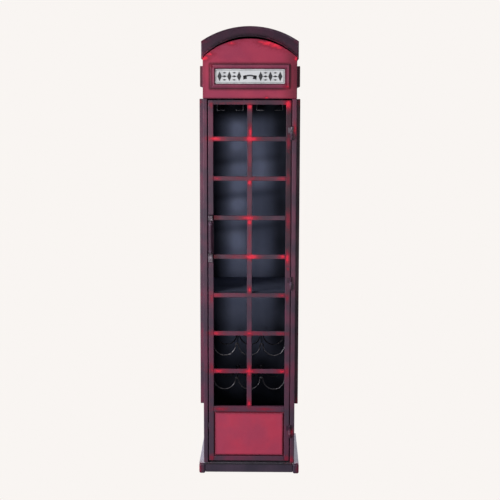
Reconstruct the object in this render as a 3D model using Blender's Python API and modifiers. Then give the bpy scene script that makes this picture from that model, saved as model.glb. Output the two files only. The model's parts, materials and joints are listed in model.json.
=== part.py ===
"""Telephone-booth bottle cabinet: a sheet-steel kiosk with a hinged lattice door.

Metres, +Z up. The front faces -Y and +X is the viewer's right. The origin is on the floor, at the
middle of the footprint of the whole object, handle included.
"""

import math

import bmesh
import bpy
from mathutils import Matrix, Vector

# Overall
HEIGHT = 1.800
BODY_HALF_WIDTH = 0.1845
BODY_DEPTH = 0.400
HANDLE_REACH = 0.030
FOOT_REACH = 0.004
FRONT = (HANDLE_REACH - FOOT_REACH - BODY_DEPTH) / 2
BACK = FRONT + BODY_DEPTH
MIDDLE = (FRONT + BACK) / 2
GAP = 0.0003
SHEET = 0.0012

# Plinth
BASE_HALF_WIDTH = 0.204
BEAM_BOTTOM = 0.005
BEAM_TOP = 0.042
BEAM_WIDTH = 0.020
FOOT_SIZE = 0.025
DECK_TOP = 0.045

# Body
POST_SIZE = 0.0175
POST_INNER = BODY_HALF_WIDTH - POST_SIZE
WALL = 0.0012
WALL_INNER = BODY_HALF_WIDTH - WALL
HEADER_BOTTOM = 1.522
BODY_FLOOR = DECK_TOP + GAP
POST_TOP = HEADER_BOTTOM - GAP
SIDE_TOP = 1.690

# Arched roof
ROOF_HALF_WIDTH = 0.1905
EAVES_BOTTOM = 1.675
EAVES_TOP = 1.742
ARCH_APEX = 1.760
HEADER_APEX = 1.753
FASCIA_REACH = 0.004
FASCIA_THICKNESS = 0.014
ARC_STEPS = 24

# Signs
SIGN_BAR = 0.018
SIGN_HALF_WIDTH = 0.1545
SIGN_BOTTOM = 1.561
SIGN_TOP = 1.654
SIGN_REACH = 0.008
PLATE_THICKNESS = 0.003
SIDE_SIGN_BOTTOM = 1.568
SIDE_SIGN_TOP = 1.649
SIDE_SIGN_FACE = 0.1975

# Side lattices
SIDE_TRIM_FACE = 0.1985
SIDE_TRIM_SETBACK = 0.025
SIDE_TRIM_BOTTOM = 0.288
SIDE_TRIM_TOP = 1.521
SIDE_TRIM_BORDER = 0.020
SIDE_TRIM_STEP = 0.005

# Door
DOOR_HALF_WIDTH = 0.1635
DOOR_BOTTOM = 0.054
DOOR_TOP = 1.516
DOOR_DEPTH = 0.016
STILE_WIDTH = 0.0205
STILE_INNER = DOOR_HALF_WIDTH - STILE_WIDTH
TOP_RAIL = 0.018
BOTTOM_RAIL = 0.019
MIDDLE_RAIL = (0.260, 0.283)
MULLION_WIDTH = 0.0195
BAR_HEIGHT = 0.018
BAR_DEPTH = 0.005
BAR_COUNT = 7
BAR_PITCH = 0.1559
LOWEST_BAR = 0.4295
KICK_PANEL_SLOPE = 0.005

# Hinges, centred in height on these levels
HINGE_X = 0.165
HINGE_Y = FRONT - 0.0055
HINGE_LEVELS = {"top": 1.3875, "middle": 0.790, "bottom": 0.1795}
KNUCKLE_RADIUS = 0.005
KNUCKLE_LENGTH = 0.028
PIN_RADIUS = 0.0024
PIN_LENGTH = 0.014
HINGE_LEAF = 0.0145

# Handle
HANDLE_X = -(STILE_INNER + STILE_WIDTH / 2)
HANDLE_AXIS_Y = FRONT - 0.020
GRIP = (0.917, 1.035)
GRIP_RADIUS = 0.0082
TENON_RADIUS = 0.0035
TENON_LENGTH = 0.014
UPPER_MOUNT = (1.042, 1.065)
LOWER_MOUNT = (0.877, 0.913)
MOUNT_WIDTH = 0.0195

# Inside
SHELF = (0.745, 0.753)
SHELF_FRONT = FRONT + 0.024
RACK_PEAKS = {"upper": 0.537, "lower": 0.396}
RACK_FRONT = FRONT + 0.036
RACK_REAR = FRONT + 0.236
CRADLE_RADIUS = 0.044
CREST_RADIUS = 0.006
CRADLE_COUNT = 3
WIRE_RADIUS = 0.0022
ROD_RADIUS = 0.0026
STEM_RACK_X = 0.078
STEM_RACK_HALF_WIDTH = 0.052
STEM_SLOT_HALF_WIDTH = 0.0215
STEM_RACK_HEIGHT = 0.046
CATCH_LEVEL = 0.195

COLLECTION = "telephone_booth"
CUTTERS = "cutters"


def srgb(red, green, blue):
    """An 8-bit display colour as the linear colour that a shader takes."""
    linear = []
    for value in (red, green, blue):
        share = value / 255
        linear.append(share / 12.92 if share <= 0.04045 else ((share + 0.055) / 1.055) ** 2.4)
    return (*linear, 1.0)


# Look: colour, roughness, metallic
LOOKS = {
    "red": (srgb(150, 62, 85), 0.45, 0.0),
    "plum": (srgb(96, 62, 78), 0.45, 0.0),
    "dark": (srgb(66, 48, 60), 0.45, 0.0),
    "inside": (srgb(66, 72, 86), 0.50, 0.0),
    "wire": (srgb(60, 60, 66), 0.35, 0.9),
    "steel": (srgb(150, 146, 152), 0.35, 0.9),
    "plate": (srgb(216, 218, 222), 0.50, 0.0),
}


# ---------------------------------------------------------------- scene and materials


def clear_scene():
    for obj in list(bpy.data.objects):
        bpy.data.objects.remove(obj, do_unlink=True)


def make_collection(name):
    collection = bpy.data.collections.new(name)
    bpy.context.scene.collection.children.link(collection)
    return collection


def make_material(name, look):
    colour, roughness, metallic = LOOKS[look]
    material = bpy.data.materials.new(name)
    material.use_nodes = True
    shader = material.node_tree.nodes["Principled BSDF"]
    shader.inputs["Base Color"].default_value = colour
    shader.inputs["Roughness"].default_value = roughness
    shader.inputs["Metallic"].default_value = metallic
    return material


def place(name, data, look):
    """Links new data as a part, or as a cutter when it has no look."""
    obj = bpy.data.objects.new(name, data)
    if look:
        bpy.data.collections[COLLECTION].objects.link(obj)
        data.materials.append(make_material(f"{name}_{look}", look))
    else:
        bpy.data.collections[CUTTERS].objects.link(obj)
        obj.hide_render = True
        obj.display_type = "WIRE"
    return obj


def place_bmesh(name, shape, look):
    mesh = bpy.data.meshes.new(name)
    shape.to_mesh(mesh)
    shape.free()
    return place(name, mesh, look)


# ---------------------------------------------------------------- shapes


def box_bmesh(x, y, z):
    """A cuboid between the (low, high) spans x, y and z."""
    shape = bmesh.new()
    bmesh.ops.create_cube(shape, size=1.0)
    spans = (x, y, z)
    for vertex in shape.verts:
        for axis, (low, high) in enumerate(spans):
            vertex.co[axis] = low if vertex.co[axis] < 0 else high
    return shape


def box(name, look, x, y, z, bevel=0.0, segments=2):
    obj = place_bmesh(name, box_bmesh(x, y, z), look)
    if bevel:
        add_bevel(obj, bevel, segments)
    return obj


def drop_faces(shape, open_sides):
    """Removes the faces that look along each direction of open_sides."""
    shape.normal_update()
    dropped = []
    for face in shape.faces:
        if any(face.normal.dot(Vector(side)) > 0.99 for side in open_sides):
            dropped.append(face)
    bmesh.ops.delete(shape, geom=dropped, context="FACES")


def folded_sheet(name, look, x, y, z, open_sides, wall=SHEET):
    """A box folded from sheet, with nothing on its open sides: a tray, a channel or a tube."""
    shape = box_bmesh(x, y, z)
    drop_faces(shape, open_sides)
    obj = place_bmesh(name, shape, look)
    add_solidify(obj, wall)
    return obj


def tube(name, look, x, y, z, axis):
    """A square tube, open at both ends of its axis."""
    along = Vector(axis)
    return folded_sheet(name, look, x, y, z, (along, -along))


def add_bevel(obj, width, segments=2):
    bevel = obj.modifiers.new("rounded_edges", "BEVEL")
    bevel.width = width
    bevel.segments = segments
    bevel.limit_method = "ANGLE"
    bevel.angle_limit = math.radians(40)


def add_solidify(obj, wall):
    solidify = obj.modifiers.new("sheet_thickness", "SOLIDIFY")
    solidify.thickness = wall
    solidify.offset = -1.0
    solidify.use_even_offset = True


def add_boolean(obj, other, operation):
    boolean = obj.modifiers.new(f"{operation.lower()}_{other.name}", "BOOLEAN")
    boolean.operation = operation
    boolean.solver = "EXACT"
    boolean.object = other


def outline_plate(name, look, points, y):
    """A plate cut to a closed outline of (x, z) points, between the two y planes."""
    curve = bpy.data.curves.new(name, "CURVE")
    curve.dimensions = "2D"
    curve.fill_mode = "BOTH"
    curve.extrude = (y[1] - y[0]) / 2
    spline = curve.splines.new("POLY")
    spline.points.add(len(points) - 1)
    for point, (across, up) in zip(spline.points, points):
        point.co = (across, up, 0.0, 1.0)
    spline.use_cyclic_u = True
    obj = place(name, curve, look)
    obj.matrix_world = Matrix.Translation((0, sum(y) / 2, 0)) @ Matrix.Rotation(math.pi / 2, 4, "X")
    return mesh_from_curve(obj, look)


def round_wire(name, points, radius):
    """A wire of round section along a line of points, as a mesh that Booleans can use."""
    curve = bpy.data.curves.new(name, "CURVE")
    curve.dimensions = "3D"
    curve.bevel_depth = radius
    curve.bevel_resolution = 2
    curve.use_fill_caps = True
    spline = curve.splines.new("POLY")
    spline.points.add(len(points) - 1)
    for point, place_at in zip(spline.points, points):
        point.co = (*place_at, 1.0)
    return mesh_from_curve(place(name, curve, None), None)


def mesh_from_curve(curve_object, look):
    """Replaces a curve object by its welded mesh, at the same place and with the same name."""
    bpy.context.view_layer.update()
    graph = bpy.context.evaluated_depsgraph_get()
    mesh = bpy.data.meshes.new_from_object(curve_object.evaluated_get(graph))
    mesh.materials.clear()
    shape = bmesh.new()
    shape.from_mesh(mesh)
    bmesh.ops.remove_doubles(shape, verts=shape.verts, dist=0.00001)
    bmesh.ops.recalc_face_normals(shape, faces=shape.faces)
    shape.to_mesh(mesh)
    shape.free()
    name = curve_object.name
    matrix = curve_object.matrix_world.copy()
    bpy.data.objects.remove(curve_object, do_unlink=True)
    obj = place(name, mesh, look)
    obj.matrix_world = matrix
    return obj


def turned(name, look, profile, location, steps=20):
    """A piece turned about a vertical axis; its profile of (radius, z) runs from top to bottom."""
    mesh = bpy.data.meshes.new(name)
    edges = [(index, index + 1) for index in range(len(profile) - 1)]
    mesh.from_pydata([(radius, 0.0, up) for radius, up in profile], edges, [])
    obj = place(name, mesh, look)
    obj.location = location
    screw = obj.modifiers.new("turning", "SCREW")
    screw.steps = steps
    screw.render_steps = steps
    screw.use_merge_vertices = True
    screw.merge_threshold = 0.00001
    screw.use_smooth_shade = True
    return obj


def arc_points(half_chord, ends_z, apex_z):
    """(x, z) points of a circular arch from its left end to its right end."""
    rise = apex_z - ends_z
    radius = (half_chord**2 + rise**2) / (2 * rise)
    sweep = math.asin(half_chord / radius)
    points = []
    for step in range(ARC_STEPS + 1):
        angle = sweep * (2 * step / ARC_STEPS - 1)
        points.append((radius * math.sin(angle), apex_z - radius * (1 - math.cos(angle))))
    return points


def arch_height(x, apex):
    """Height above the floor of an arch that springs from the eaves, x metres from the middle."""
    rise = apex - EAVES_BOTTOM
    radius = (ROOF_HALF_WIDTH**2 + rise**2) / (2 * rise)
    return apex - radius + math.sqrt(radius**2 - x**2)


# ---------------------------------------------------------------- plinth


def plinth():
    inner_x = BASE_HALF_WIDTH - FOOT_SIZE
    front = FRONT - FOOT_REACH
    back = BACK + FOOT_REACH
    height = (BEAM_BOTTOM, BEAM_TOP)
    run = (-inner_x + GAP, inner_x - GAP)
    folded_sheet("base_beam_front", "dark", run, (FRONT, FRONT + BEAM_WIDTH), height, [(0, 1, 0)])
    folded_sheet("base_beam_rear", "dark", run, (BACK - BEAM_WIDTH, BACK), height, [(0, -1, 0)])
    depth = (front + FOOT_SIZE + GAP, back - FOOT_SIZE - GAP)
    for side, sign in (("left", -1), ("right", 1)):
        x = sorted((sign * BASE_HALF_WIDTH, sign * (BASE_HALF_WIDTH - BEAM_WIDTH)))
        folded_sheet(f"base_beam_{side}", "dark", x, depth, height, [(-sign, 0, 0)])
        foot_x = sorted((sign * BASE_HALF_WIDTH, sign * inner_x))
        for end, foot_y in (("front", (front, front + FOOT_SIZE)), ("rear", (back - FOOT_SIZE, back))):
            box(f"base_foot_{end}_{side}", "red", foot_x, foot_y, (0, BEAM_TOP), 0.007, 3)
    half = BASE_HALF_WIDTH - 0.0005
    deck = (BEAM_TOP + GAP, DECK_TOP)
    box("base_deck", "plum", (-half, half), (FRONT, BACK), deck, 0.0008, 1)


# ---------------------------------------------------------------- body


def posts():
    height = (BODY_FLOOR, POST_TOP)
    rear = BACK - WALL - GAP
    for side, sign in (("left", -1), ("right", 1)):
        x = sorted((sign * POST_INNER, sign * BODY_HALF_WIDTH))
        tube(f"corner_post_front_{side}", "plum", x, (FRONT, FRONT + POST_SIZE), height, (0, 0, 1))
        rear_height = (BODY_FLOOR, EAVES_BOTTOM)
        tube(f"corner_post_rear_{side}", "plum", x, (rear - POST_SIZE, rear), rear_height, (0, 0, 1))


def walls():
    rear_post = BACK - WALL - GAP - POST_SIZE
    depth = (FRONT + POST_SIZE + GAP, rear_post - GAP)
    for side, sign in (("left", -1), ("right", 1)):
        x = sorted((sign * WALL_INNER, sign * BODY_HALF_WIDTH))
        box(f"side_panel_{side}", "plum", x, depth, (BODY_FLOOR, SIDE_TOP))
    half = WALL_INNER - GAP
    box("ceiling_panel", "inside", (-half, half), depth, (HEADER_BOTTOM, HEADER_BOTTOM + WALL))
    back = arched_outline(BODY_HALF_WIDTH, BODY_FLOOR)
    outline_plate("back_panel", "inside", back, (BACK - WALL, BACK))


def arched_outline(half_width, bottom, inset=0.0004):
    """Outline with a flat bottom and sides, and an arched top just under the fascia's inner arch."""
    points = [(-half_width, bottom)]
    for step in range(ARC_STEPS + 1):
        x = half_width * (2 * step / ARC_STEPS - 1)
        points.append((x, arch_height(x, HEADER_APEX) - inset))
    points.append((half_width, bottom))
    return points


def header():
    """The pediment over the door: a pan folded back from the front face, open behind."""
    outer = arched_outline(BODY_HALF_WIDTH, HEADER_BOTTOM)
    pan = outline_plate("header_panel", "red", outer, (FRONT, FRONT + POST_SIZE))
    inner = arched_outline(BODY_HALF_WIDTH - SHEET, HEADER_BOTTOM + SHEET, 0.0004 + SHEET)
    hollow = (FRONT + SHEET, FRONT + POST_SIZE + SHEET)
    add_boolean(pan, outline_plate("header_hollow", None, inner, hollow), "DIFFERENCE")


def roof():
    outer = arc_points(ROOF_HALF_WIDTH, EAVES_TOP, HEIGHT)
    inner = arc_points(ROOF_HALF_WIDTH, EAVES_BOTTOM, ARCH_APEX)
    fascia = outer + inner[::-1]
    front = FRONT - FASCIA_REACH
    rear = BACK + FASCIA_REACH
    outline_plate("roof_fascia_front", "dark", fascia, (front, front + FASCIA_THICKNESS))
    outline_plate("roof_fascia_rear", "dark", fascia, (rear - FASCIA_THICKNESS, rear))
    section = [(-ROOF_HALF_WIDTH, EAVES_BOTTOM)] + outer + [(ROOF_HALF_WIDTH, EAVES_BOTTOM)]
    run = (front + FASCIA_THICKNESS + GAP, rear - FASCIA_THICKNESS - GAP)
    bent_sheet("roof_shell", "dark", section, run, 0.002)


def bent_sheet(name, look, section, y, wall):
    """Sheet bent along an open (x, z) section and running between the two y planes."""
    shape = bmesh.new()
    near = [shape.verts.new((x, y[0], z)) for x, z in section]
    edges = [shape.edges.new(pair) for pair in zip(near, near[1:])]
    swept = bmesh.ops.extrude_edge_only(shape, edges=edges)
    moved = [item for item in swept["geom"] if isinstance(item, bmesh.types.BMVert)]
    bmesh.ops.translate(shape, verts=moved, vec=(0, y[1] - y[0], 0))
    shape.normal_update()
    centre = Vector((sum(x for x, _ in section) / len(section), 0, sum(z for _, z in section) / len(section)))
    outward = 0.0
    for face in shape.faces:
        offset = face.calc_center_median() - centre
        offset.y = 0
        outward += face.normal.dot(offset) * face.calc_area()
    if outward < 0:
        bmesh.ops.reverse_faces(shape, faces=shape.faces)
    obj = place_bmesh(name, shape, look)
    add_solidify(obj, wall)
    return obj


# ---------------------------------------------------------------- signs


def signs():
    x = (-SIGN_HALF_WIDTH, SIGN_HALF_WIDTH)
    z = (SIGN_BOTTOM, SIGN_TOP)
    frame_y = (FRONT - SIGN_REACH, FRONT - GAP)
    frame = box("sign_frame_front", "red", x, frame_y, z, 0.002)
    opening = box("sign_opening_front", None, shrink(x, SIGN_BAR), grow(frame_y, 0.01), shrink(z, SIGN_BAR))
    add_boolean(frame, opening, "DIFFERENCE")
    plate_y = (FRONT - GAP - PLATE_THICKNESS, FRONT - GAP)
    box("sign_plate_front", "plate", shrink(x, SIGN_BAR + GAP), plate_y, shrink(z, SIGN_BAR + GAP))
    for side, sign in (("left", -1), ("right", 1)):
        side_sign(side, sign)


def side_sign(side, sign):
    y = (MIDDLE - SIGN_HALF_WIDTH, MIDDLE + SIGN_HALF_WIDTH)
    z = (SIDE_SIGN_BOTTOM, SIDE_SIGN_TOP)
    frame_x = sorted((sign * (BODY_HALF_WIDTH + GAP), sign * SIDE_SIGN_FACE))
    frame = box(f"sign_frame_{side}", "red", frame_x, y, z, 0.002)
    opening = box(f"sign_opening_{side}", None, grow(frame_x, 0.01), shrink(y, SIGN_BAR), shrink(z, SIGN_BAR))
    add_boolean(frame, opening, "DIFFERENCE")
    plate_x = sorted((sign * (BODY_HALF_WIDTH + GAP), sign * (BODY_HALF_WIDTH + GAP + PLATE_THICKNESS)))
    box(f"sign_plate_{side}", "plate", plate_x, shrink(y, SIGN_BAR + GAP), shrink(z, SIGN_BAR + GAP))


def shrink(span, by):
    return (span[0] + by, span[1] - by)


def grow(span, by):
    return (span[0] - by, span[1] + by)


# ---------------------------------------------------------------- side lattices


def bar_levels():
    """Middle heights of the lattice bars, from the lowest up."""
    return [LOWEST_BAR + BAR_PITCH * index for index in range(BAR_COUNT)]


def window_cells(y, z, bar):
    """(y, z) spans of the panes in a lattice of two columns, between a border and its bars."""
    middle = sum(y) / 2
    columns = ((y[0], middle - bar / 2), (middle + bar / 2, y[1]))
    edges = [z[0]]
    for level in bar_levels():
        edges += [level - bar / 2, level + bar / 2]
    edges.append(z[1])
    return [(column, row) for column in columns for row in zip(edges[::2], edges[1::2])]


def window_cutter(name, x, cells):
    """One cutter with a separate block for each pane."""
    shape = bmesh.new()
    for y, z in cells:
        block = box_bmesh(x, y, z)
        mesh = bpy.data.meshes.new("pane")
        block.to_mesh(mesh)
        block.free()
        shape.from_mesh(mesh)
        bpy.data.meshes.remove(mesh)
    return place_bmesh(name, shape, None)


def side_lattices():
    """Channel-section grilles that stand proud of the side panels, open towards them."""
    y = (FRONT + SIDE_TRIM_SETBACK, BACK - SIDE_TRIM_SETBACK)
    z = (SIDE_TRIM_BOTTOM, SIDE_TRIM_TOP)
    inside_y = shrink(y, SIDE_TRIM_BORDER)
    inside_z = shrink(z, SIDE_TRIM_BORDER)
    cells = window_cells(inside_y, inside_z, BAR_HEIGHT)
    for side, sign in (("left", -1), ("right", 1)):
        near = sign * (BODY_HALF_WIDTH + GAP)
        far = sign * SIDE_TRIM_FACE
        step = sign * (SIDE_TRIM_FACE - SIDE_TRIM_STEP)
        through = grow(sorted((near, far)), 0.01)
        lattice = box(f"side_lattice_{side}", "plum", sorted((near, far)), y, z)
        recess_x = sorted((step, far + sign * 0.01))
        recess = box(f"lattice_recess_{side}", None, recess_x, inside_y, inside_z)
        add_boolean(lattice, recess, "DIFFERENCE")
        add_boolean(lattice, window_cutter(f"lattice_panes_{side}", through, cells), "DIFFERENCE")
        add_boolean(lattice, lattice_hollow(side, near - sign * 0.01, step, y, z), "DIFFERENCE")


def lattice_hollow(side, near, step, y, z):
    """The space inside the lattice's folded channels."""
    x = sorted((near, step - math.copysign(SHEET, step)))
    hollow = box(f"lattice_hollow_{side}", None, x, shrink(y, SHEET), shrink(z, SHEET))
    border = SIDE_TRIM_BORDER - SHEET
    cells = window_cells(shrink(y, border), shrink(z, border), BAR_HEIGHT - 2 * SHEET)
    panes = window_cutter(f"lattice_walls_{side}", grow(x, 0.01), cells)
    add_boolean(hollow, panes, "DIFFERENCE")
    return hollow


# ---------------------------------------------------------------- inside


def shelf():
    half = WALL_INNER - 0.001
    rear = BACK - WALL - POST_SIZE - 2 * GAP
    folded_sheet("shelf", "inside", (-half, half), (SHELF_FRONT, rear), SHELF, [(0, 0, -1)], 0.0012)


def cradle_path(y, peak):
    """Points of one scalloped wire, wall to wall: cradles joined by small crests."""
    radius_step = CRADLE_RADIUS + CREST_RADIUS
    points = [(-WALL_INNER + GAP, y, peak)]
    spring_line = peak - CREST_RADIUS
    for index in range(CRADLE_COUNT):
        centre = 2 * radius_step * (index - (CRADLE_COUNT - 1) / 2)
        points += arc(centre - radius_step, spring_line, CREST_RADIUS, 90, 0, y, 3)
        points += arc(centre, spring_line, CRADLE_RADIUS, 180, 360, y, 12)[1:]
        points += arc(centre + radius_step, spring_line, CREST_RADIUS, 180, 90, y, 3)[1:]
    points.append((WALL_INNER - GAP, y, peak))
    return without_repeats(points)


def arc(x, z, radius, start, end, y, steps):
    points = []
    for step in range(steps + 1):
        angle = math.radians(start + (end - start) * step / steps)
        points.append((x + radius * math.cos(angle), y, z + radius * math.sin(angle)))
    return points


def without_repeats(points):
    kept = [points[0]]
    for point in points[1:]:
        if (Vector(point) - Vector(kept[-1])).length > 0.0005:
            kept.append(point)
    return kept


def bottle_racks():
    """Each rack is one weldment: a scalloped wire front and rear, and two rods under the crests."""
    crest = CRADLE_RADIUS + CREST_RADIUS
    for level, peak in RACK_PEAKS.items():
        rack = round_wire(f"rack_wire_{level}", cradle_path(RACK_FRONT, peak), WIRE_RADIUS)
        rack = promote(rack, f"bottle_rack_{level}", "wire")
        rear = round_wire(f"rack_rear_{level}", cradle_path(RACK_REAR, peak), WIRE_RADIUS)
        add_boolean(rack, rear, "UNION")
        for side, x in (("left", -crest), ("right", crest)):
            level_z = peak - WIRE_RADIUS - ROD_RADIUS + 0.0008
            ends = [(x, RACK_FRONT - 0.006, level_z), (x, RACK_REAR + 0.006, level_z)]
            add_boolean(rack, round_wire(f"rack_rod_{side}_{level}", ends, ROD_RADIUS), "UNION")


def promote(cutter, name, look):
    """Makes a part of a shape that was made as a cutter."""
    mesh = cutter.data
    bpy.data.objects.remove(cutter, do_unlink=True)
    return place(name, mesh, look)


def stem_racks():
    """Slotted channels under the ceiling that hold glasses by their feet."""
    top = POST_TOP
    bottom = top - STEM_RACK_HEIGHT
    run = (FRONT + 0.030, BACK - 0.060)
    for side, x in (("left", -STEM_RACK_X), ("right", STEM_RACK_X)):
        inner, outer = STEM_SLOT_HALF_WIDTH, STEM_RACK_HALF_WIDTH
        section = [
            (x - inner, bottom),
            (x - outer, bottom),
            (x - outer, top),
            (x + outer, top),
            (x + outer, bottom),
            (x + inner, bottom),
        ]
        bent_sheet(f"stem_rack_{side}", "wire", section, run, SHEET)


def magnetic_catch():
    z = (CATCH_LEVEL - 0.015, CATCH_LEVEL + 0.015)
    reach = DOOR_DEPTH + 0.0025
    x = (-WALL_INNER + GAP, -0.146)
    box("magnetic_catch", "steel", x, (FRONT + POST_SIZE + 0.001, FRONT + POST_SIZE + 0.015), z, 0.001, 1)
    plate_y = (FRONT + DOOR_DEPTH + GAP, FRONT + reach - 2 * GAP)
    box("strike_plate", "steel", (-0.161, -0.146), plate_y, shrink(z, 0.003))


# ---------------------------------------------------------------- door


def door_frame():
    depth = (FRONT, FRONT + DOOR_DEPTH)
    for side, sign in (("left", -1), ("right", 1)):
        x = sorted((sign * STILE_INNER, sign * DOOR_HALF_WIDTH))
        tube(f"door_stile_{side}", "plum", x, depth, (DOOR_BOTTOM, DOOR_TOP), (0, 0, 1))
    span = (-STILE_INNER + GAP, STILE_INNER - GAP)
    tube("door_rail_top", "plum", span, depth, (DOOR_TOP - TOP_RAIL, DOOR_TOP), (1, 0, 0))
    tube("door_rail_middle", "plum", span, depth, MIDDLE_RAIL, (1, 0, 0))
    tube("door_rail_bottom", "plum", span, depth, (DOOR_BOTTOM, DOOR_BOTTOM + BOTTOM_RAIL), (1, 0, 0))


def door_lattice():
    """Flat bars half-lapped over the mullion, which is notched behind each of them."""
    half = MULLION_WIDTH / 2
    lap = FRONT + BAR_DEPTH / 2
    height = (MIDDLE_RAIL[1] + GAP, DOOR_TOP - TOP_RAIL - GAP)
    mullion = box("door_mullion", "plum", (-half, half), (FRONT, FRONT + BAR_DEPTH), height)
    notches = []
    for level in bar_levels():
        notches.append(((FRONT - 0.01, lap + GAP / 2), grow((level, level), BAR_HEIGHT / 2 + GAP)))
    add_boolean(mullion, window_cutter("mullion_notches", (-2 * half, 2 * half), notches), "DIFFERENCE")
    span = (-STILE_INNER + GAP, STILE_INNER - GAP)
    for index, level in enumerate(reversed(bar_levels()), start=1):
        z = grow((level, level), BAR_HEIGHT / 2)
        bar = box(f"door_bar_{index}", "plum", span, (FRONT, FRONT + BAR_DEPTH), z)
        notch_y = (lap - GAP / 2, FRONT + 2 * BAR_DEPTH)
        notch = box(f"bar_notch_{index}", None, grow((-half, half), GAP), notch_y, grow(z, 0.01))
        add_boolean(bar, notch, "DIFFERENCE")


def kick_panel():
    """The raised panel below the lattice, a pressed tray with sloping edges."""
    x = shrink((-STILE_INNER, STILE_INNER), GAP)
    z = shrink((DOOR_BOTTOM + BOTTOM_RAIL, MIDDLE_RAIL[0]), GAP)
    shape = box_bmesh(x, (FRONT + 0.001, FRONT + 0.011), z)
    for vertex in shape.verts:
        if vertex.co.y < FRONT + 0.005:
            vertex.co.x -= math.copysign(KICK_PANEL_SLOPE, vertex.co.x)
            vertex.co.z -= math.copysign(KICK_PANEL_SLOPE, vertex.co.z - sum(z) / 2)
    drop_faces(shape, [(0, 1, 0)])
    panel = place_bmesh("door_kick_panel", shape, "red")
    add_solidify(panel, SHEET)


# ---------------------------------------------------------------- hinges and handle


def hinges():
    """Lift-off hinges: the lower half and its pin stay on the post, the upper half lifts away."""
    end = 0.004
    tip = 0.6 * KNUCKLE_RADIUS
    bore = PIN_RADIUS + 0.0004
    for level, z in HINGE_LEVELS.items():
        top = KNUCKLE_LENGTH
        upper = [(0, top), (tip, top - 0.0008), (KNUCKLE_RADIUS, top - end), (KNUCKLE_RADIUS, GAP)]
        upper += [(bore, GAP), (bore, PIN_LENGTH + 0.001), (0, PIN_LENGTH + 0.001)]
        lower = [(0, PIN_LENGTH), (PIN_RADIUS, PIN_LENGTH), (PIN_RADIUS, -GAP), (KNUCKLE_RADIUS, -GAP)]
        lower += [(KNUCKLE_RADIUS, end - top), (tip, 0.0008 - top), (0, -top)]
        location = (HINGE_X, HINGE_Y, z)
        door_half = turned(f"hinge_door_half_{level}", "steel", upper, location)
        post_half = turned(f"hinge_post_half_{level}", "steel", lower, location)
        leaf_y = (FRONT - 0.0018, FRONT - GAP)
        inner = HINGE_X - HINGE_LEAF
        outer = HINGE_X + HINGE_LEAF
        door_x = (inner, HINGE_X)
        post_x = (HINGE_X, outer)
        door_leaf = box(f"door_leaf_{level}", None, door_x, leaf_y, (z + 0.002, z + top - 0.005))
        post_leaf = box(f"post_leaf_{level}", None, post_x, leaf_y, (z - top + 0.005, z - 0.002))
        add_boolean(door_half, door_leaf, "UNION")
        add_boolean(post_half, post_leaf, "UNION")


def handle():
    tenon_top = GRIP[1] + TENON_LENGTH + 0.007
    tenon_bottom = GRIP[0] - TENON_LENGTH - 0.004
    shoulder = 0.0025
    profile = [
        (0, tenon_top),
        (TENON_RADIUS, tenon_top),
        (TENON_RADIUS, GRIP[1]),
        (GRIP_RADIUS - shoulder / 2, GRIP[1]),
        (GRIP_RADIUS, GRIP[1] - shoulder),
        (GRIP_RADIUS, GRIP[0] + shoulder),
        (GRIP_RADIUS - shoulder / 2, GRIP[0]),
        (TENON_RADIUS, GRIP[0]),
        (TENON_RADIUS, tenon_bottom),
        (0, tenon_bottom),
    ]
    turned("handle_grip", "plum", profile, (HANDLE_X, HANDLE_AXIS_Y, 0), 24)
    socket(UPPER_MOUNT, "handle_mount_upper", (UPPER_MOUNT[0] - 0.005, tenon_top + 0.0005))
    socket(LOWER_MOUNT, "handle_mount_lower", (tenon_bottom - 0.0005, LOWER_MOUNT[1] + 0.005))


def socket(z, name, hole_z):
    """A block that stands the grip off the stile, with a blind hole for the grip's tenon."""
    x = grow((HANDLE_X, HANDLE_X), MOUNT_WIDTH / 2)
    block = box(name, "steel", x, (FRONT - HANDLE_REACH, FRONT - GAP), z)
    add_bevel(block, 0.003, 3)
    shape = bmesh.new()
    depth = hole_z[1] - hole_z[0]
    bore = TENON_RADIUS + 0.0006
    bmesh.ops.create_cone(shape, cap_ends=True, segments=20, radius1=bore, radius2=bore, depth=depth)
    hole = place_bmesh(f"{name}_hole", shape, None)
    hole.location = (HANDLE_X, HANDLE_AXIS_Y, sum(hole_z) / 2)
    add_boolean(block, hole, "DIFFERENCE")


def hang_door():
    """Parents every moving piece to an empty on the hinge axis."""
    axis = bpy.data.objects.new("door_hinge_axis", None)
    axis.location = (HINGE_X, HINGE_Y, 0)
    bpy.data.collections[COLLECTION].objects.link(axis)
    bpy.context.view_layer.update()
    moving = ("door_", "hinge_door_half_", "handle_", "strike_plate")
    for obj in bpy.data.collections[COLLECTION].objects:
        if obj is not axis and obj.name.startswith(moving):
            obj.parent = axis
            obj.matrix_parent_inverse = axis.matrix_world.inverted()


def main():
    clear_scene()
    make_collection(COLLECTION)
    make_collection(CUTTERS)
    plinth()
    posts()
    walls()
    header()
    roof()
    signs()
    side_lattices()
    shelf()
    bottle_racks()
    stem_racks()
    magnetic_catch()
    door_frame()
    door_lattice()
    kick_panel()
    hinges()
    handle()
    hang_door()


main()
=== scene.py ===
import json
import math
import random

import bmesh
import bpy
import numpy as np
from mathutils import Matrix, Vector, noise


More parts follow.
